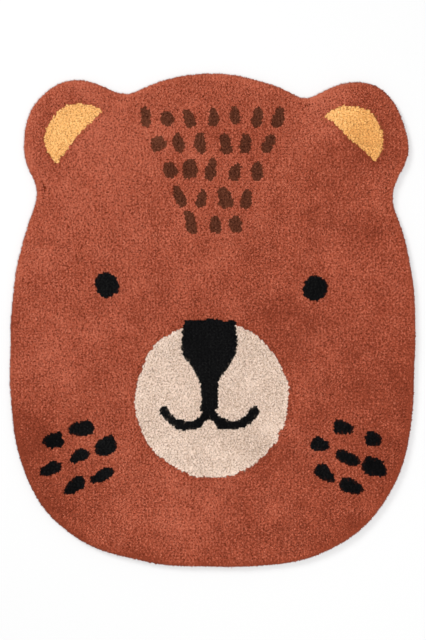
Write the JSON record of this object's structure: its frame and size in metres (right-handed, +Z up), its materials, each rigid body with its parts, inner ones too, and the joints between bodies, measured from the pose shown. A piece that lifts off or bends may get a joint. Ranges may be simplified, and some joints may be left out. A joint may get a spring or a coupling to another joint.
{
  "type": "kids rug",
  "caption": "Flat tufted cotton rug for a child's room, cut to the outline of a bear's head with round ears, with a short cut pile on a cloth backing.",
  "frame": {"origin": "on the floor, under the middle of the rug's bounding box", "axes": "+Z up out of the pile, +Y from the chin towards the ears, +X across the head"},
  "size_m": [1, 1.216, 0.0158],
  "materials": {
    "rust_pile": "matte cut cotton pile, rust",
    "cream_pile": "matte cut cotton pile, warm cream",
    "ochre_pile": "matte cut cotton pile, ochre yellow",
    "black_pile": "matte cut cotton pile, black",
    "brown_pile": "matte cut cotton pile, dark brown",
    "backing": "plain woven unbleached cotton"
  },
  "bodies": {
    "root": {"rug": "rust_pile"}
  },
  "joints": []
}
